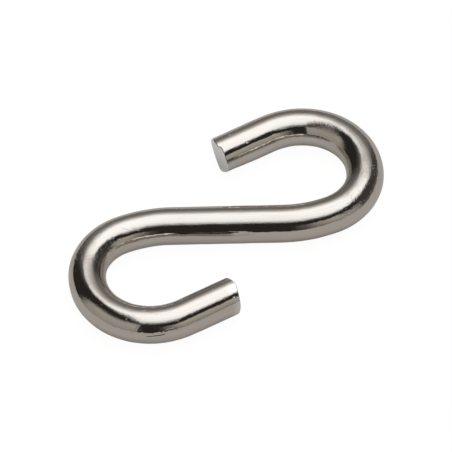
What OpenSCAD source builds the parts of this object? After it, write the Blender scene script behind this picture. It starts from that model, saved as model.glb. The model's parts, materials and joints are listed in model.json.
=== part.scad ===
// S hook: one length of round wire bent into two open eyes that face opposite ways.
// It lies flat on the XY plane. The middle of its shank is over the origin, and the
// centres of its two crowns are on the X axis, which is the hook's longest way.

/* [Wire] */
// Diameter of the wire
wire_d = 4; // [3:0.1:5]

/* [Shank] */
// Straight stretch in the middle, between the bends of the two eyes
shank_l = 11.6; // [9:0.1:15]

/* [Eyes] */
// Inside radius of the slow sweep that leaves the shank
sweep_r = 11.2; // [9:0.1:14]
// Angle of the sweep
sweep_a = 23.3; // [18:0.1:28]
// Inside radius of the quick bend at the outer corner of the eye
corner_r = 3.6; // [3:0.1:5]
// Angle of the corner bend
corner_a = 68.9; // [60:0.1:75]
// Inside radius of the crown, the seat that a ring or a link hangs in
crown_r = 5.15; // [4:0.05:6.5]
// Angle of the crown
crown_a = 117.6; // [105:0.1:125]

/* [Tails] */
// Straight tail of the eye on the +X side
tail_l = 5.7; // [4:0.1:7]
// Straight tail of the eye on the -X side
other_tail_l = 5.5; // [4:0.1:7]

/* [Sheared ends] */
// Lean of the first end face, in degrees: above 0 the wire is longer at its top
cut_lean = -1; // [-10:0.5:10]
// Lean of the other end face
other_cut_lean = 8.5; // [-10:0.5:10]
// Width of the edge that the shear rolled over around each face
edge = 0.25; // [0.1:0.05:0.5]

/* [Hidden] */
$fn = 96;

wire_r = wire_d / 2;

// The three bends, measured to the wire's axis
sweep_axis_r = sweep_r + wire_r;
corner_axis_r = corner_r + wire_r;
crown_axis_r = crown_r + wire_r;

// Sweeps and crowns are a hair slimmer than the stretches between them, and run on
// into those by a lap so short that they stay inside: the wire is one sound solid.
hair = 0.02;
slim_r = wire_r - hair;
lap = sqrt(hair * corner_axis_r);

// Centre of a crown in the shank's own frame: each bend's centre lies on the radius
// where the bend before it ends
corner_start_a = sweep_a;
crown_start_a = sweep_a + corner_a;
crown_x = shank_l / 2 + (sweep_axis_r - corner_axis_r) * sin(corner_start_a)
    + (corner_axis_r - crown_axis_r) * sin(crown_start_a);
crown_y = sweep_axis_r - (sweep_axis_r - corner_axis_r) * cos(corner_start_a)
    - (corner_axis_r - crown_axis_r) * cos(crown_start_a);

// Turn that brings both crowns' centres onto the X axis
shank_turn = -atan2(crown_y, crown_x);

// A straight run of wire along +X, with what follows placed at its end
module run(length) {
    rotate([0, 90, 0]) cylinder(r = wire_r, h = length);
    translate([length, 0, 0]) children();
}

// A bend to the left that starts along +X, with what follows placed at its end.
// It runs on past both of its ends by run_on.
module bend(axis_r, angle, section_r = wire_r, run_on = 0) {
    run_on_a = run_on / axis_r * 180 / PI;
    translate([0, axis_r, 0]) {
        rotate([0, 0, -90 - run_on_a]) rotate_extrude(angle = angle + 2 * run_on_a)
            translate([axis_r, 0]) circle(r = section_r);
        rotate([0, 0, angle]) translate([0, -axis_r, 0]) children();
    }
}

// A straight tail with its sheared face: a flat that leans, inside a narrow
// slope around the rim, cut by a cone that opens at 45 degrees behind the face
module tail(length, lean) {
    spare = wire_d;
    intersection() {
        rotate([0, 90, 0]) cylinder(r = wire_r, h = length + spare);
        translate([length, 0, 0]) rotate([0, lean - 90, 0])
            cylinder(r1 = wire_r - edge, r2 = wire_r - edge + length + spare, h = length + spare);
    }
}

// Half of the hook, from the middle of the shank to the end of its tail
module half(tail_length, lean) {
    run(shank_l / 2)
        bend(sweep_axis_r, sweep_a, slim_r, lap)
            bend(corner_axis_r, corner_a)
                bend(crown_axis_r, crown_a, slim_r, lap)
                    tail(tail_length, lean);
}

module hook() {
    color([0.66, 0.63, 0.60])
        translate([0, 0, wire_r]) rotate([0, 0, shank_turn]) {
            half(tail_l, cut_lean);
            rotate([0, 0, 180]) half(other_tail_l, other_cut_lean);
        }
}

hook();
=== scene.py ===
# %% [markdown]
# # A bright S hook
#
# The real hook is one length of round steel wire. It is cropped off in a shear, bent
# cold round pins into two open eyes that face opposite ways, tumbled, and plated with
# bright nickel. So there is one piece to make and one finish to give it.
#
# The solid model already has its true size. It comes in as a fixed frame, and nothing
# in it is moved: the hook made here takes its thickness and its place from it.

# %% Load the frame
import json
import math

import bpy
import numpy as np
from mathutils import Matrix, Vector


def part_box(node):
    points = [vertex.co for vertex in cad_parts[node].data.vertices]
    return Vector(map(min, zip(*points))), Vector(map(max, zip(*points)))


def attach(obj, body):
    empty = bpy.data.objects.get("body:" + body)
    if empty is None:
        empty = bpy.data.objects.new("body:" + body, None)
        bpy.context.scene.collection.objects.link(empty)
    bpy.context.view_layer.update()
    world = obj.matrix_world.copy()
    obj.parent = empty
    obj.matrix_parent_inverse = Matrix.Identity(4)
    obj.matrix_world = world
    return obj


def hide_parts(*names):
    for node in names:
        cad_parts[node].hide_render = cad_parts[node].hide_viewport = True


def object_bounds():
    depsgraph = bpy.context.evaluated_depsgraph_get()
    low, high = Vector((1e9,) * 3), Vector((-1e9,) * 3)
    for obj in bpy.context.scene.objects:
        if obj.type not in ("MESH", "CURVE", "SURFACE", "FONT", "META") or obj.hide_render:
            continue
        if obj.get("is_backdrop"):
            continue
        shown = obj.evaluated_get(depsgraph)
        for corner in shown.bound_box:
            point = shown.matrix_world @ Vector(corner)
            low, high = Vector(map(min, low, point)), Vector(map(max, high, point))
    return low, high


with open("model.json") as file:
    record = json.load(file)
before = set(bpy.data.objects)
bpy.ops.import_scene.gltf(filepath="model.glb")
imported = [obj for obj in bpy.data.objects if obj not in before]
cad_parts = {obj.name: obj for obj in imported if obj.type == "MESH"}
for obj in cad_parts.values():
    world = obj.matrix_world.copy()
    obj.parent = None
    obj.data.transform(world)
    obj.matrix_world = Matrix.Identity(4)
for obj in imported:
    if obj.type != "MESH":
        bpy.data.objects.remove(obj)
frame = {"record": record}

MM = 0.001
cad_low, cad_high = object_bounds()
hook_low, hook_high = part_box("hook")
wire_r = (hook_high.z - hook_low.z) / 2
cad_size = [round(side / MM, 2) for side in cad_high - cad_low]
print("the hook is", cad_size, "mm, of wire", round(2 * wire_r / MM, 2))

# %% [markdown]
# ## The camera
#
# A thing as small as this is taken with a long lens from well back, so its near and far
# ends look equally thick. The camera looks down on the hook, which lies flat, and its
# picture is turned a little, as if the hook had been put down askew on the table.

# %% Set up the camera
LENS_MM = 557.5
SENSOR_MM = 36
STAND_OFF = 736.8 * MM
AZIMUTH = math.radians(-31.5)
ELEVATION = math.radians(50)
ROLL = math.radians(-8)
AIM_LEFT, AIM_DOWN = 0.07 * MM, 0.12 * MM

back = Vector((
    math.sin(AZIMUTH) * math.cos(ELEVATION),
    -math.cos(AZIMUTH) * math.cos(ELEVATION),
    math.sin(ELEVATION),
))
turn = back.to_track_quat("Z", "Y").to_matrix() @ Matrix.Rotation(ROLL, 3, "Z")
aim = Vector((0, 0, wire_r)) - turn.col[0] * AIM_LEFT - turn.col[1] * AIM_DOWN

camera = bpy.data.objects.new("camera", bpy.data.cameras.new("camera"))
bpy.context.scene.collection.objects.link(camera)
camera.data.sensor_width = SENSOR_MM
camera.data.lens = LENS_MM
camera.matrix_world = Matrix.Translation(aim + back * STAND_OFF) @ turn.to_4x4()
bpy.context.scene.camera = camera
bpy.context.scene.view_settings.view_transform = "Standard"
print("the camera stands at", [round(x, 3) for x in camera.location])

# %% [markdown]
# ## Writing shader maths as sums
#
# A shader is a net of nodes, and a long formula takes dozens of them. It is easier to
# read as a formula, so a small class wraps what comes out of a node: adding or
# multiplying two of them puts the Math node there. Every other node comes from one
# method, `add`, which takes its type, its settings and then its sockets.

# %% Nodes and signals
class Signal:
    """A number that comes out of a node. Sums with it add Math nodes."""

    def __init__(self, nodes, socket):
        self.nodes = nodes
        self.socket = socket

    def maths(self, operation, first, second):
        return self.nodes.add("ShaderNodeMath", {"operation": operation}, {0: first, 1: second})

    def __add__(self, other):
        return self.maths("ADD", self, other)

    def __sub__(self, other):
        return self.maths("SUBTRACT", self, other)

    def __rsub__(self, other):
        return self.maths("SUBTRACT", other, self)

    def __mul__(self, other):
        return self.maths("MULTIPLY", self, other)

    def __truediv__(self, other):
        return self.maths("DIVIDE", self, other)

    __radd__ = __add__
    __rmul__ = __mul__


class Nodes:
    """The nodes of one material, or of the world."""

    def __init__(self, owner):
        owner.use_nodes = True
        self.tree = owner.node_tree
        self.tree.nodes.clear()

    def add(self, kind, settings=None, sockets=None, output=0):
        """Adds a node, sets it up, fills or links its sockets, and returns one of its outputs."""
        node = self.tree.nodes.new(kind)
        for name, value in (settings or {}).items():
            setattr(node, name, value)
        for name, value in (sockets or {}).items():
            if isinstance(value, Signal):
                self.tree.links.new(value.socket, node.inputs[name])
            else:
                node.inputs[name].default_value = value
        return Signal(self, node.outputs[output]) if node.outputs else node

    def step(self, value, start, end):
        """0 before start, 1 after end, and a smooth rise between them."""
        soft = {"interpolation_type": "SMOOTHSTEP"}
        return self.add("ShaderNodeMapRange", soft, {"Value": value, "From Min": start, "From Max": end})

    def window(self, value, rise, fall):
        """1 between the pair of numbers where it rises and the pair where it falls, and 0 outside."""
        return self.step(value, *rise) - self.step(value, *fall)

    def mix(self, factor, first, second):
        """One colour, going over to another as the factor goes from 0 to 1."""
        return self.add("ShaderNodeMix", {"data_type": "RGBA"}, {0: factor, 6: first, 7: second}, 2)


# %% [markdown]
# ## The studio
#
# Bright metal has hardly any colour of its own: what one sees is the room in it. So the
# room is worth as much care as the hook. A softbox hangs over the table, a little to the
# right. The table runs up into a grey sweep at the back, which is bright high up. A pale
# wall stands on the left and another on the right, both mostly on the camera's side of the
# hook, with a dim corner between the sweep and the right wall. The rest of the room is
# dark, and that dark is what draws the black line along the wire.
#
# Lamps and boards would do, but their edges are hard to place in a curved mirror. So the
# room is painted on the world, as a function of direction. A direction above the table
# meets a ceiling at the height of 1 in a point, and in that flat ceiling the softbox is
# nearly a rectangle.

# %% Paint the room on the world
world = bpy.data.worlds.new("studio")
bpy.context.scene.world = world
room = Nodes(world)

# Level directions, to the right of the camera and away from it
TO_RIGHT = (math.cos(AZIMUTH), math.sin(AZIMUTH), 0)
AWAY = (-math.sin(AZIMUTH), math.cos(AZIMUTH), 0)
LOWEST = 0.001  # never 0, so that a level direction still meets the ceiling, far away


def along(direction, way):
    """How far a direction goes along a way: their dot product."""
    return room.add("ShaderNodeVectorMath", {"operation": "DOT_PRODUCT"}, {0: direction, 1: way}, "Value")


towards = room.add("ShaderNodeTexCoord", output="Generated")
right = along(towards, TO_RIGHT)
away = along(towards, AWAY)
up = along(towards, (0, 0, 1))
height = room.add("ShaderNodeMath", {"operation": "MAXIMUM"}, {0: up, 1: LOWEST})
ceiling_x = right / height
ceiling_y = away / height
bearing = room.add("ShaderNodeMath", {"operation": "ARCTAN2"}, {0: right, 1: away})
from_camera = room.add("ShaderNodeMath", {"operation": "ARCTAN2"}, {0: right, 1: 0 - away})
print("right is", [round(x, 3) for x in TO_RIGHT], "and away is", [round(x, 3) for x in AWAY])

# %% [markdown]
# Each part of the room is a mask between 0 and 1. Its edges are soft, as those of a real
# softbox are, and of a wall that its light only half reaches. So an edge is a pair of
# numbers: where it begins and where it is complete.
#
# The softbox is laid out in the flat ceiling. It hangs a little askew, so each edge leans,
# and its near right corner is hidden by something that hangs before it. It is brightest
# near its middle and falls off with the square of the distance from there.

# %% Mask out the softbox
SOFTBOX_LEFT, LEFT_LEAN = (-0.38, -0.18), 0.06
SOFTBOX_RIGHT, RIGHT_LEAN = (0.57, 0.89), 0.18
SOFTBOX_NEAR, SOFTBOX_FAR, ACROSS_LEAN = (-0.90, -0.26), (0.51, 0.99), 0.2
HIDDEN_RIGHT, HIDDEN_NEAR, HIDDEN_LEAN = (0.40, 0.72), (-0.48, -0.20), 0.3
BRIGHTEST_AT = 0.25
FALL_OFF = 0.35

past_left = room.step(ceiling_x - ceiling_y * LEFT_LEAN, *SOFTBOX_LEFT)
past_right = room.step(ceiling_x - ceiling_y * RIGHT_LEAN, *SOFTBOX_RIGHT)
between = room.window(ceiling_y + ceiling_x * ACROSS_LEAN, SOFTBOX_NEAR, SOFTBOX_FAR)
hidden_side = room.step(ceiling_x - ceiling_y * HIDDEN_LEAN, *HIDDEN_RIGHT)
hidden = hidden_side * (1 - room.step(ceiling_y, *HIDDEN_NEAR))
off_x = ceiling_x - BRIGHTEST_AT
off_y = ceiling_y - BRIGHTEST_AT
fallen = (off_x * off_x + off_y * off_y) * FALL_OFF
softbox = past_left * (1 - past_right) * between * (1 - hidden) * (1 - fallen)
softbox_wide = SOFTBOX_RIGHT[1] - SOFTBOX_LEFT[0]
print("the softbox is", round(softbox_wide, 2), "wide, in a ceiling at the height of 1")

# %% [markdown]
# The sweep and the walls stand upright, so they go by bearing: the angle from straight
# away from the camera, to the right of it. The right wall comes round to the camera's own
# side, where bearings jump from 180 to -180 degrees, so it goes by the angle from straight
# towards the camera instead. How high a wall reaches is given as the height of a direction
# of length 1, and the right wall's top drops towards both of its ends.

# %% Mask out the sweep and the walls
def degrees(*angles):
    """These angles in radians."""
    return [math.radians(angle) for angle in angles]


SWEEP_LEFT, SWEEP_RIGHT = degrees(-42, -10), degrees(28, 56)
BRIGHT_LEFT, BRIGHT_RIGHT, BRIGHT_ABOVE = degrees(-24, 0), degrees(38, 72), (0.40, 1.0)
DIM_LEFT, DIM_RIGHT = degrees(40, 62), degrees(104, 118)
LEFT_WALL_NEAR, LEFT_WALL_FAR, LEFT_WALL_TOP = degrees(-153, -148), degrees(-87, -69), (0.66, 0.86)
RIGHT_WALL_NEAR, RIGHT_WALL_FAR, RIGHT_WALL_TOP = degrees(-8, 27), degrees(60, 71), (0.55, 0.61)
NEAR_DROP, NEAR_DROP_OVER = 0.05, degrees(24, 34)
FAR_DROP, FAR_DROP_OVER = 0.16, degrees(36, 48)

sweep = room.window(bearing, SWEEP_LEFT, SWEEP_RIGHT)
bright_sweep = room.window(bearing, BRIGHT_LEFT, BRIGHT_RIGHT) * room.step(up, *BRIGHT_ABOVE)
dim_corner = room.window(bearing, DIM_LEFT, DIM_RIGHT)
left_wall = room.window(bearing, LEFT_WALL_NEAR, LEFT_WALL_FAR) * (1 - room.step(up, *LEFT_WALL_TOP))
near_drop = NEAR_DROP * (1 - room.step(from_camera, *NEAR_DROP_OVER))
top_drop = near_drop + FAR_DROP * room.step(from_camera, *FAR_DROP_OVER)
right_wall = room.window(from_camera, RIGHT_WALL_NEAR, RIGHT_WALL_FAR)
right_wall = right_wall * (1 - room.step(up + top_drop, *RIGHT_WALL_TOP))
print("the masks took", len(room.tree.nodes), "nodes")

# %% [markdown]
# The masks are laid over the dark one after the other, like coats of paint. A colour here
# is linear, and 1 is a white wall. The walls grow brighter upwards and the dim corner
# darker, which shades the wire's sides as a real room does.

# %% Paint them over the dark
def light(level, green, blue):
    """A linear colour with red at this level, and green and blue in proportion to it."""
    return level, level * green, level * blue, 1


DARK = light(0.027, 0.89, 0.80)
DIM_LOW, DIM_HIGH, DIM_BETWEEN = light(0.125, 0.93, 0.88), light(0.055, 0.93, 0.88), (0.05, 0.30)
LEFT_LOW, LEFT_HIGH, LEFT_BETWEEN = light(0.355, 0.95, 0.87), light(0.43, 0.95, 0.87), (0.1, 0.6)
RIGHT_LOW, RIGHT_HIGH, RIGHT_BETWEEN = light(0.31, 0.96, 0.87), light(0.45, 0.96, 0.87), (0.08, 0.42)
SWEEP_GREY = light(0.20, 0.955, 0.91)
SWEEP_BRIGHT = light(1.10, 0.99, 0.985)
SOFTBOX_LIGHT = light(1.45, 1.02, 1.04)

dim_light = room.mix(room.step(up, *DIM_BETWEEN), DIM_LOW, DIM_HIGH)
left_light = room.mix(room.step(up, *LEFT_BETWEEN), LEFT_LOW, LEFT_HIGH)
right_light = room.mix(room.step(up, *RIGHT_BETWEEN), RIGHT_LOW, RIGHT_HIGH)

painted = room.mix(dim_corner, DARK, dim_light)
painted = room.mix(left_wall, painted, left_light)
painted = room.mix(right_wall, painted, right_light)
painted = room.mix(sweep, painted, SWEEP_GREY)
painted = room.mix(bright_sweep, painted, SWEEP_BRIGHT)
painted = room.mix(softbox, painted, SOFTBOX_LIGHT)
print("the softbox is", round(SOFTBOX_LIGHT[0] / DARK[0]), "times as bright as the dark")

# %% [markdown]
# The painted room lights the hook and shows in it. To the camera itself the world is plain
# white instead, at a strength of 1, so the white needs no more light on the hook.

# %% Light the room, and show the camera white
def see(nodes, kind):
    """1 for rays of this kind, from Light Path, and 0 for all others."""
    return nodes.add("ShaderNodeLightPath", output=f"Is {kind} Ray")


lit_room = room.add("ShaderNodeBackground", sockets={"Color": painted, "Strength": 1.0})
white = room.add("ShaderNodeBackground", sockets={"Color": (1, 1, 1, 1), "Strength": 1.0})
shown = room.add("ShaderNodeMixShader", sockets={0: see(room, "Camera"), 1: lit_room, 2: white})
room.add("ShaderNodeOutputWorld", sockets={"Surface": shown})
print("the room has", len(room.tree.nodes), "nodes in all")

# %% [markdown]
# ## The table
#
# The hook lies on a sheet of pale warm paper. For the camera most of the paper is turned
# to plain white, and what is left of it keeps a faint shadow under the wire. Metal shows
# the same sheet, less bleached, because its reflection is what makes the lower side of
# the wire a warm grey.

# %% Lay the paper
PAPER_HALF = 1.5
PAPER_COLOUR = light(0.88, 0.955, 0.91)
BLEACH = 1.12
BLEACHED_TO_CAMERA, BLEACHED_IN_METAL = 0.85, 0.08

paper_corners = [(x * PAPER_HALF, y * PAPER_HALF, 0) for x, y in ((-1, -1), (1, -1), (1, 1), (-1, 1))]
paper_mesh = bpy.data.meshes.new("paper")
paper_mesh.from_pydata(paper_corners, [], [(0, 1, 2, 3)])
paper = bpy.data.objects.new("paper", paper_mesh)
bpy.context.scene.collection.objects.link(paper)

paper_material = bpy.data.materials.new("paper")
sheet = Nodes(paper_material)
matt = sheet.add("ShaderNodeBsdfDiffuse", sockets={"Color": PAPER_COLOUR})
bleached = sheet.add("ShaderNodeEmission", sockets={"Color": (1, 1, 1, 1), "Strength": BLEACH})
mirrored = see(sheet, "Glossy") + see(sheet, "Transmission")
bleaching = see(sheet, "Camera") * BLEACHED_TO_CAMERA + mirrored * BLEACHED_IN_METAL
paper_seen = sheet.add("ShaderNodeMixShader", sockets={0: bleaching, 1: matt, 2: bleached})
sheet.add("ShaderNodeOutputMaterial", sockets={"Surface": paper_seen})
paper_mesh.materials.append(paper_material)
paper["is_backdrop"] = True
print("the paper is", 2 * PAPER_HALF, "m square")

# %% [markdown]
# ## The line of the wire
#
# The wire's axis is a chain of stretches. From the middle of the shank it runs straight,
# then bends left three times, slow, quick and slow again round the crown, and ends in a
# straight tail. The other half is the same chain turned half a turn.
#
# A stretch is straight or a bend, and one formula does for both: the chord of a bend
# heads half as far round as the bend turns, and is shorter than the bend by sin(x)/x of
# that half turn. A straight stretch turns by nothing, and its chord is itself.

# %% The stretches, from the middle of the shank outwards
def bend(axis_r, angle):
    """(length, turn) of a bend, from the radius to the wire's axis and the angle in degrees."""
    return axis_r * math.radians(angle), math.radians(angle)


SHANK = (5.8 * MM, 0.0)
SWEEP_BEND = bend(13.2 * MM, 23.3)
CORNER_BEND = bend(5.6 * MM, 68.9)
CROWN_R = 7.15 * MM
CROWN_BEND = bend(CROWN_R, 117.6)
TAIL = (5.7 * MM, 0.0)
OTHER_TAIL_SHORTER = 0.2 * MM

stretches = np.array([SHANK, SWEEP_BEND, CORNER_BEND, CROWN_BEND, TAIL])
starts = np.concatenate([[0], np.cumsum(stretches[:, 0])])
headings = np.concatenate([[0], np.cumsum(stretches[:, 1])])
AT_CROWN, AT_TAIL = 3, 4  # which stretches these are, counting the shank as 0
wire_end = starts[-1]
other_end = wire_end - OTHER_TAIL_SHORTER
print("the wire is", round((wire_end + other_end) / MM, 1), "mm long")

# %% [markdown]
# The chords of whole stretches, laid end to end, give the places where one stretch meets
# the next. The chord of a part of a stretch then gives any place within it. Last, the
# whole line is turned until the centres of both crowns lie on the X axis.

# %% Follow the wire
def chord(length, turned, heading):
    """The straight way across a stretch that turns evenly: its length times sin(x)/x, where x is half
    of what it turns by, and headed half way round."""
    reach = length * np.sinc(turned / 2 / np.pi)
    return np.stack([reach * np.cos(heading + turned / 2), reach * np.sin(heading + turned / 2)], -1)


chords = chord(stretches[:, 0], stretches[:, 1], headings[:-1])
meetings = np.concatenate([np.zeros((1, 2)), np.cumsum(chords, axis=0)])
crown_heading = headings[AT_CROWN]
to_centre = np.array([-math.sin(crown_heading), math.cos(crown_heading)])
crown_centre = meetings[AT_CROWN] + CROWN_R * to_centre
shank_heading = -math.atan2(crown_centre[1], crown_centre[0])
c, n = math.cos(shank_heading), math.sin(shank_heading)
level = np.array([[c, n], [-n, c]])


def stretch_at(s):
    """Which stretch the wire is in, at s metres from the middle of the shank either way."""
    return np.clip(np.searchsorted(starts, np.abs(s), side="right") - 1, 0, len(stretches) - 1)


def wire_axis(s):
    """Where the axis is, s metres from the middle of the shank, and its heading. The half with s below 0
    is the other half turned by half a turn about the origin: its points are negated, its headings kept."""
    stretch = stretch_at(s)
    done = np.abs(s) - starts[stretch]
    turned = done * stretches[stretch, 1] / stretches[stretch, 0]
    flat = meetings[stretch] + chord(done, turned, headings[stretch])
    placed = flat @ level * np.where(s < 0, -1.0, 1.0)[..., None]
    return placed, headings[stretch] + turned + shank_heading


mounts = {mount["name"]: mount for mount in frame["record"]["mounts"]}
miss = np.linalg.norm(crown_centre @ level - np.array(mounts["eye"]["pos_m"][:2]))
print("the crown is", round(miss / MM, 4), "mm from where the record has it")

# %% [markdown]
# ## The surface of the wire
#
# The whole skin is one grid. Its rows are rings round the wire, from the middle of one cut
# face, over the face's edge, along the wire, and over the other edge to the middle of the
# other face. Its columns go once round. So each corner of the grid only needs two
# numbers: how far along the wire it is, and how far out from the axis.

# %% Lay out the rings
AROUND = 100
FACE_RINGS, EDGE_RINGS, WIRE_RINGS = 14, 10, 940
NEAR_CUT, FAR_CUT = 0.5 * MM, 0.9 * MM  # kept free at each end, for the cut's edge and lean

theta = np.arange(AROUND) * 2 * np.pi / AROUND
leftness = np.cos(theta)
height_on_wire = np.sin(theta)
near_start, far_start = wire_end - NEAR_CUT, other_end - FAR_CUT
run = np.linspace(-far_start, near_start, WIRE_RINGS)[:, None] + 0 * theta
print("rings along the wire are", round(float(run[1, 0] - run[0, 0]) / MM, 3), "mm apart")

# %% [markdown]
# ## Drawn, bent and knocked about
#
# No wire is a perfect cylinder. Drawing and straightening leave it very slightly wavy, the
# pins that it is bent round press into it, and the hooks knock against each other in the
# tumbler. Nearly all of that is a few hundredths of a millimetre, and a tenth where the
# near tail was squeezed in the shear. But a mirror shows it at once: the edges of the
# bright band wander, and dents catch a light of their own.
#
# The waves are a sum of cosines. Each knock is a bell-shaped dip, or a swelling beside one
# where its depth is below 0. Together they only ever take metal away from the full round,
# so the hook never grows out of its own size.

# %% Make the wire a little uneven
WAVE_COUNT, WAVE_SEED = 24, 5
LONGEST_WAVE, SHORTEST_WAVE, MOST_CRESTS = 6 * MM, 1.6 * MM, 5
WAVE_DEPTH, WAVES_SET_BACK = 0.003 * MM, 2.5
BEND_THINNING, THINNING_ENDS = 0.018 * MM, 1 * MM
LEAST_LOST = 0.001 * MM


def waves(s):
    """A sum of cosines that is 1 strong on average. Each has a wave length of its own along the wire, a
    whole number of crests round it, so that it closes on itself, and a phase of its own."""
    draw = np.random.default_rng(WAVE_SEED)
    wave_length = draw.uniform(SHORTEST_WAVE, LONGEST_WAVE, WAVE_COUNT)
    per_metre = 2 * np.pi / wave_length * draw.choice([-1, 1], WAVE_COUNT)
    crests = draw.integers(0, MOST_CRESTS + 1, WAVE_COUNT)
    phase = draw.uniform(0, 2 * np.pi, WAVE_COUNT)
    each = np.cos(s[..., None] * per_metre + theta[:, None] * crests + phase)
    return each.sum(-1) * math.sqrt(2 / WAVE_COUNT)


def angle_from(angle):
    """How far round each column is from an angle in degrees, the short way, in radians."""
    return (theta - math.radians(angle) + np.pi) % (2 * np.pi) - np.pi


def dip(s, at, angle, length, width):
    """A bell-shaped dip that is 1 deep at a place given in millimetres along the wire and degrees round
    it: e to the minus squared distance, measured in half its length and half its width."""
    ahead = (s - at * MM) / (length / 2 * MM)
    aside = angle_from(angle) * wire_r / (width / 2 * MM)
    return np.exp(-ahead ** 2 - aside ** 2)


KNOCKS = [
    # along in mm, round in degrees, then length, width and depth in mm
    (-28.0, 47, 0.8, 0.80, -0.012),
    (-13.0, 143, 1.6, 0.80, 0.014),
    (-11.9, 150, 1.4, 0.60, -0.010),
    (-10.6, 158, 1.8, 0.40, 0.008),
    (-8.6, 132, 1.0, 0.60, 0.010),
    (32.6, 27, 0.9, 0.90, 0.012),
    (24.6, 52, 2.2, 1.20, 0.016),
    (13.8, 140, 1.4, 0.70, 0.010),
    (17.6, 60, 1.2, 0.90, 0.010),
    (-21.5, 70, 1.4, 0.80, 0.010),
    (38.3, 318, 5.0, 2.40, 0.110),
    (38.2, 70, 0.7, 0.45, 0.040),
    (38.3, 185, 4.0, 3.00, 0.018),
    (-38.1, 0, 3.0, 2.40, 0.034),
]


def inset(s):
    """How much less than the full radius the wire has: its waves, its thinning and its knocks. It thins
    evenly along the sweep, stays thin in the corner and the crown, and is full again soon after them."""
    thin = np.interp(np.abs(s), starts[1:AT_TAIL + 1], [0, 1, 1, 1])
    thin = thin * (1 - np.interp(np.abs(s), starts[AT_TAIL] + [0, THINNING_ENDS], [0, 1]))
    lost = WAVE_DEPTH * (WAVES_SET_BACK + waves(s)) + BEND_THINNING * thin
    for at, angle, length, width, depth in KNOCKS:
        lost = lost + depth * MM * dip(s, at, angle, length, width)
    return np.maximum(lost, LEAST_LOST)


lost = inset(run)
print("the wire is thinned by", (lost.min() / MM).round(3), "to", (lost.max() / MM).round(3), "mm")

# %% [markdown]
# ## The cut ends
#
# A shear rolls the edge over where its blade enters, and tears a small lip where it comes
# out. So the edge is a quarter round of uneven width, the face leans and is not quite flat,
# and one face has a nick in its rim. A flat cap would be quicker, but its clean rim would
# look turned on a lathe.

# %% Shape a cut face
def spot(angle, wide):
    """1 at an angle round the wire, in degrees, and falling off like a bell with the given half width."""
    return np.exp(-((angle_from(angle) / math.radians(wide)) ** 2))


def rim(*lumps):
    """Millimetres at each angle round a rim: a sum of bells, each with its angle, half width and height."""
    return sum(high * spot(angle, wide) for angle, wide, high in lumps)


LIP_POWER = 6  # a lip stands up only near the rim: its height goes with this power of the distance


def cut_end(end, lean, edge, rim_r, longer, hollow):
    """Rings over one cut face, from its middle outwards: (how far along, how far out). The face leans, so
    it is longer at its top by the lean's slope. It is hollow, or raised where that number is below 0,
    with the square of the distance from its rim to its middle. Its edge is a quarter round of its own
    width at each angle, and its rim is longer by the lips."""
    face_share = np.linspace(0, 1, FACE_RINGS, endpoint=False)[:, None]
    quarter = np.linspace(0, np.pi / 2, EDGE_RINGS)[:, None]
    out = np.concatenate([face_share * (rim_r - edge), rim_r - edge + edge * np.sin(quarter)])
    back_off = np.concatenate([face_share * 0 * edge, edge - edge * np.cos(quarter)])
    share = out / rim_r
    tilt = math.tan(math.radians(lean)) * out * height_on_wire
    return end - back_off + tilt + hollow * (share ** 2 - 1) + longer * share ** LIP_POWER, out


print("a face has", FACE_RINGS, "rings, and its edge", EDGE_RINGS)

# %% [markdown]
# The near face is the one with the nick. Beside the nick its rim keeps a ledge of torn
# metal, which begins sharply and runs out slowly: that is one S-shaped step up over the
# other one down. The far face leans more, and its lip is a plain bell.

# %% Cut both ends
NEAR_LEAN, NEAR_HOLLOW, NEAR_ROLL = -1.0, -0.05 * MM, 0.07
FAR_LEAN, FAR_HOLLOW, FAR_ROLL = 8.5, 0.04 * MM, 0.12
LEDGE, LEDGE_BEGINS, BEGINS_OVER, LEDGE_ENDS, ENDS_OVER = 0.24, 79, 1.0, 130, 8

near_edge = NEAR_ROLL + rim((100, 38, 0.10), (300, 30, 0.06))
near_longer = rim((67, 9, -0.09), (50, 12, -0.06), (205, 45, -0.10), (283, 28, 0.19))
around = np.degrees(theta)
ledge = LEDGE / (1 + np.exp((LEDGE_BEGINS - around) / BEGINS_OVER))
ledge = ledge / (1 + np.exp((around - LEDGE_ENDS) / ENDS_OVER))
near_longer = (near_longer + ledge) * MM
far_edge = FAR_ROLL + rim((95, 30, 0.12))
far_longer = rim((88, 28, 0.25)) * MM
near_rim, far_rim = wire_r - lost[-1], wire_r - lost[0]
near_along, near_out = cut_end(wire_end, NEAR_LEAN, near_edge * MM, near_rim, near_longer, NEAR_HOLLOW)
far_along, far_out = cut_end(other_end, FAR_LEAN, far_edge * MM, far_rim, far_longer, FAR_HOLLOW)

along_wire = np.concatenate([-far_along, run, near_along[::-1]])
out_from_axis = np.concatenate([far_out, wire_r - lost, near_out[::-1]])
print("the grid has", len(along_wire), "rings of", AROUND, "corners")

# %% [markdown]
# ## The skin
#
# Now every corner of the grid has its two numbers, and the line of the wire turns them into
# a place: go along the axis, then out from it at the column's angle. A tube made by
# bevelling a curve would be quicker, but it could not carry the dents, nor a face that
# leans. The grid closes on itself round the wire, and a fan of triangles closes each end.

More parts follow.
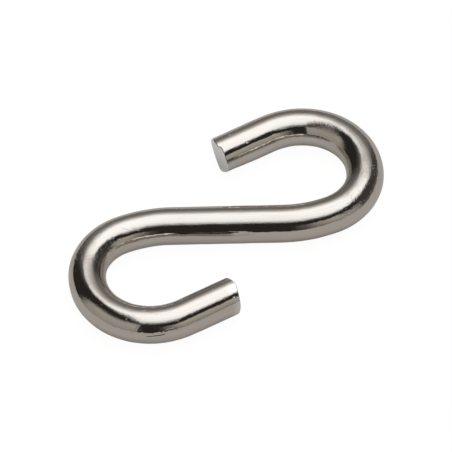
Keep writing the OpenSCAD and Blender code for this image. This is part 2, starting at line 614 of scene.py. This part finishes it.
# %% Make the skin
def skin(name, along_wire, out_from_axis):
    """A closed mesh from the grid: a ring at each row, and a single point where a ring has no size.
    A corner lies on the axis, moved out to the left by the cosine of its angle and up by the sine."""
    axis, heading = wire_axis(along_wire)
    left = np.stack([-np.sin(heading), np.cos(heading)], -1)
    flat = axis + left * (out_from_axis * leftness)[..., None]
    corners = np.concatenate([flat, (wire_r + out_from_axis * height_on_wire)[..., None]], -1)
    rows, columns = along_wire.shape
    index = np.arange(rows * columns).reshape(rows, columns)
    after = np.roll(index, -1, axis=1)
    quads = np.stack([index[1:-2], after[1:-2], after[2:-1], index[2:-1]], -1).reshape(-1, 4)
    first, last = index[0, 0], index[-1, 0]
    fan = np.stack([np.full(columns, first), after[1], index[1]], -1)
    far_fan = np.stack([np.full(columns, last), index[-2], after[-2]], -1)
    used = np.unique(np.concatenate([quads.ravel(), fan.ravel(), far_fan.ravel()]))
    number = np.zeros(rows * columns, int)
    number[used] = np.arange(len(used))
    mesh = bpy.data.meshes.new(name)
    faces = [number[f].tolist() for f in (quads, fan, far_fan)]
    mesh.from_pydata(corners.reshape(-1, 3)[used].tolist(), [], faces[0] + faces[1] + faces[2])
    mesh.polygons.foreach_set("use_smooth", np.ones(len(mesh.polygons), bool))
    piece = bpy.data.objects.new(name, mesh)
    bpy.context.scene.collection.objects.link(piece)
    return piece, used


hook, used = skin("bent_wire", along_wire, out_from_axis)
print("the skin has", sum(len(p.vertices) - 2 for p in hook.data.polygons), "triangles")

# %% [markdown]
# ## What the metal remembers
#
# Four things about each corner of the skin are kept on the mesh, for the finish to read:
# where the corner was on the straight wire, because the marks of drawing run along it; how
# sharply the wire is bent there, because a hard bend turns its skin grainy; whether it is
# on a cut face, which was never drawn smooth; and how much it has been rubbed dull.

# %% Keep them on the mesh
def keep(mesh, name, kind, values):
    """Stores an attribute, one number or one vector for each corner of the mesh."""
    attribute = mesh.attributes.new(name, kind, "POINT")
    field = "vector" if kind == "FLOAT_VECTOR" else "value"
    attribute.data.foreach_set(field, values.astype(np.float32).ravel())


BLEND_RINGS = 29


def blended(column):
    """A column with each value blended with its neighbours along the wire, the nearest ones most."""
    weights = np.hanning(BLEND_RINGS) / np.hanning(BLEND_RINGS).sum()
    return np.convolve(np.pad(column, BLEND_RINGS // 2, "edge"), weights, "valid")


CUT_FADES_OVER = 2
PRESSED_AT, PRESSED_WIDE, PRESSED = 75, 45, 4

bend_per_metre = (stretches[:, 1] / stretches[:, 0])[stretch_at(along_wire)]
bent = np.apply_along_axis(blended, 0, bend_per_metre) * wire_r
straight = np.stack([along_wire, out_from_axis * leftness, out_from_axis * height_on_wire], -1)
row = np.arange(len(along_wire))[:, None] + 0 * theta
rows_in = np.minimum(row, len(along_wire) - 1 - row) - FACE_RINGS
# The blade pressed the top of the near edge smooth, so there the cut ends at the face's rim
pressed = (row > WIRE_RINGS) * spot(PRESSED_AT, PRESSED_WIDE) * (rows_in > 1) * PRESSED
sheared = np.clip((EDGE_RINGS - rows_in) / CUT_FADES_OVER - pressed, 0, 1)

RUBS = [
    # along in mm, round in degrees, length and width in mm, and strength
    (26.8, 60, 3.0, 1.0, 0.4),
    (24.6, 57, 3.0, 2.0, 1.3),
    (-9.6, 120, 3.0, 0.9, 0.3),
    (13.5, 128, 3.6, 1.0, 0.3),
]
rubbed = 0
for at, angle, length, width, strength in RUBS:
    rubbed = rubbed + strength * dip(along_wire, at, angle, length, width)

keep(hook.data, "straight", "FLOAT_VECTOR", straight.reshape(-1, 3)[used])
keep(hook.data, "bent", "FLOAT", bent.ravel()[used])
keep(hook.data, "sheared", "FLOAT", sheared.ravel()[used])
keep(hook.data, "rubbed", "FLOAT", rubbed.ravel()[used])
print("the skin is stretched and squeezed by up to", round(float(bent.max()), 2))

# %% [markdown]
# ## The metal
#
# Bright nickel is a smooth mirror, and what one sees of the metal itself is its small
# faults. Where the wire was bent hard its skin is grainy, with more pits, and the cut faces
# keep the torn skin of the shear under the plating.
#
# A picture of such faults could be wrapped round the wire, but somebody would have to draw
# it first. Noise and cells are worked out at each point instead, and stay sharp however
# near one looks. Each fault is a height in millimetres, and their sum becomes one bump.

# %% What the finish reads
metal = bpy.data.materials.new("bright_nickel")
plating = Nodes(metal)


def noise(coordinates, size, detail=2.0):
    """Clouds between 0 and 1 whose lumps are this big, with smaller lumps in them as the detail grows."""
    sockets = {"Vector": coordinates, "Scale": 1 / size, "Detail": detail}
    return plating.add("ShaderNodeTexNoise", sockets=sockets)


place = plating.add("ShaderNodeTexCoord", output="Object")
on_straight = plating.add("ShaderNodeAttribute", {"attribute_name": "straight"}, output="Vector")
how_bent = plating.add("ShaderNodeAttribute", {"attribute_name": "bent"}, output="Fac")
on_face = plating.add("ShaderNodeAttribute", {"attribute_name": "sheared"}, output="Fac")
rub = plating.add("ShaderNodeAttribute", {"attribute_name": "rubbed"}, output="Fac")

BENT_HARD, PATCH_SIZE, IN_PATCHES = (0.24, 0.35), 2.4 * MM, (0.25, 0.60)
worked = plating.step(how_bent, *BENT_HARD) * plating.step(noise(place, PATCH_SIZE), *IN_PATCHES)
print("the skin turns grainy where a bend is tighter than", round(1 / BENT_HARD[0], 1), "wire radii")

# %% [markdown]
# Grain is the finest, peel is the slow waviness of the plating, and a pit is a small cup.
# For the pits, space is cut into cells, and each cell gets a random number: where it is
# high, the cell has a pit at its point. Bending brings more pits, so that bar drops there.

# %% Grain, peel and pits
GRAIN_SIZE, GRAIN, GRAIN_WORKED, GRAIN_RUBBED = 0.16 * MM, 0.004, 0.010, 0.012
PEEL_SIZE, PEEL, PEEL_WORKED = 0.42 * MM, 0.005, 0.005
PIT_CELL, PIT, PIT_WORKED = 0.24 * MM, 0.006, 0.012
PIT_CUP, PIT_BAR, PIT_BAR_DROP, BAR_WIDTH = (0.03, 0.34), 0.88, 0.58, 0.05
TEAR_SIZE, TEAR = 0.12 * MM, 0.010

grain = noise(place, GRAIN_SIZE, 0.0) * (GRAIN + GRAIN_WORKED * worked + GRAIN_RUBBED * rub)
peel = noise(place, PEEL_SIZE, 1.0) * (PEEL + PEEL_WORKED * worked)
cells = {"Vector": place, "Scale": 1 / PIT_CELL}
to_pit = plating.add("ShaderNodeTexVoronoi", {}, cells, "Distance")
chance = plating.add("ShaderNodeTexVoronoi", {}, cells, "Color")
bar = PIT_BAR - PIT_BAR_DROP * worked
pitted = plating.step(chance, bar, bar + BAR_WIDTH)
pits = pitted * (1 - plating.step(to_pit, *PIT_CUP)) * (PIT + PIT_WORKED * worked)
torn = noise(place, TEAR_SIZE, 2.0) * on_face * TEAR
print("the deepest pits are", round(PIT + PIT_WORKED, 3), "mm deep")

# %% [markdown]
# ## Lines along the wire
#
# The die that drew the wire left very fine lines along it. They are noise on the straight
# wire, squeezed to a small share of its length, which stretches every lump into a line.
# A scratch is a groove at one place: a window along the wire times a slope across it.

# %% The lines that the die drew, and scratches
LINE_SIZE, LINE, SQUEEZE = 0.16 * MM, 0.0035, (0.04, 1, 1)
squeezed = plating.add("ShaderNodeVectorMath", {"operation": "MULTIPLY"}, {0: on_straight, 1: SQUEEZE})
drawn = noise(squeezed, LINE_SIZE, 2.0) * LINE

SCRATCHES = [
    # along in mm, round in degrees, length in mm, slant, then width and depth in mm
    (-30.6, 31, 0.9, 0.0, 0.14, 0.018),
    (-29.3, 17, 2.4, -0.10, 0.30, 0.036),
    (-26.3, 104, 0.5, 0.4, 0.10, 0.010),
    (-28.2, 98, 0.6, -0.3, 0.10, 0.010),
    (36.6, 103, 0.5, 0.2, 0.12, 0.012),
    (35.4, 54, 0.35, 0.3, 0.14, 0.014),
    (0.9, 152, 1.3, 0.05, 0.14, 0.014),
    (-37.7, 47, 0.35, 0.0, 0.18, 0.020),
    (-36.1, 98, 0.3, 0.0, 0.14, 0.014),
    (-10.9, 116, 1.2, 0.8, 0.10, 0.010),
    (-9.8, 124, 1.0, 0.6, 0.10, 0.010),
]
down_wire = plating.add("ShaderNodeSeparateXYZ", {}, {"Vector": on_straight}, "X")
to_left = plating.add("ShaderNodeSeparateXYZ", {}, {"Vector": on_straight}, "Y")
upward = plating.add("ShaderNodeSeparateXYZ", {}, {"Vector": on_straight}, "Z")
angle_on_wire = plating.add("ShaderNodeMath", {"operation": "ARCTAN2"}, {0: upward, 1: to_left})
scratched = 0
for at, angle, length, slant, width, depth in SCRATCHES:
    ahead = down_wire / MM - at
    aside = (angle_on_wire - math.radians(angle)) * (wire_r / MM) - ahead * slant
    off_line = plating.add("ShaderNodeMath", {"operation": "ABSOLUTE"}, {0: aside})
    ends = plating.window(ahead, (-length / 2, -length / 5), (length / 5, length / 2))
    scratched = scratched + ends * (1 - plating.step(off_line, 0, width / 2)) * depth
print("the wire has", len(SCRATCHES), "scratches that can be told apart")

# %% [markdown]
# ## Height, gloss and colour
#
# The heights go into one bump. The gloss is nearly a mirror's, and falls off where the
# wire was bent, rubbed or cut. The colour wanders a little between two tints of nickel,
# with duller streaks along the wire. The fresh cut faces are colder, and their near-white
# colour is partly painted light: it lightens them beyond bare steel, for light they catch.

# %% Put the metal together
MIRROR, CLOUDY, CLOUD_SIZE = 0.055, 0.05, 1.1 * MM
ROUGHER_WORKED, ROUGHER_FACE, ROUGHER_RUBBED = 0.03, 0.15, 0.18

bumps = grain + peel + drawn + torn - pits - scratched
bumped = plating.add("ShaderNodeBump", {}, {"Strength": 1.0, "Distance": MM, "Height": bumps})
clouds = CLOUDY * (noise(place, CLOUD_SIZE) - 0.5)
roughness = MIRROR + ROUGHER_WORKED * worked + clouds + ROUGHER_FACE * on_face + ROUGHER_RUBBED * rub

NICKEL = (0.668, 0.637, 0.59, 1)
WARM_NICKEL = (0.678, 0.627, 0.57, 1)
# The cut faces' near-white is partly painted light, lighter than bare steel, for the light they catch
CUT_FACE_WITH_PAINTED_LIGHT = (0.98, 0.99, 1.0, 1)
DULL_NICKEL = (0.59, 0.556, 0.51, 1)
TINT_SIZE, TINT_EDGE = 3.0 * MM, (0.35, 0.65)
STREAK_SIZE, STREAK_EDGE, STREAK = 0.30 * MM, (0.45, 0.75), 0.55

warmth = plating.step(noise(place, TINT_SIZE), *TINT_EDGE)
streaks = plating.step(noise(squeezed, STREAK_SIZE), *STREAK_EDGE) * STREAK
on_tube = plating.mix(streaks, plating.mix(warmth, NICKEL, WARM_NICKEL), DULL_NICKEL)
# Cut faces get the near-white colour, which is partly their own colder steel and partly painted light
colour = plating.mix(on_face, on_tube, CUT_FACE_WITH_PAINTED_LIGHT)
sockets = {"Base Color": colour, "Metallic": 1.0, "Roughness": roughness, "Normal": bumped}
surface = plating.add("ShaderNodeBsdfPrincipled", sockets=sockets)
plating.add("ShaderNodeOutputMaterial", sockets={"Surface": surface})
hook.data.materials.append(metal)
print("the finish has", len(plating.tree.nodes), "nodes")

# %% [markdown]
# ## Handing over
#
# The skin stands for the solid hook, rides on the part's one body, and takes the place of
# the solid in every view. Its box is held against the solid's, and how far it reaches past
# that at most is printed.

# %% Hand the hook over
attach(hook, "root")
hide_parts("hook")
seen_low, seen_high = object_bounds()
past = max(max(cad_low - seen_low), max(seen_high - cad_high))
print("out of the CAD box by", round(past / MM, 4), "mm at most")
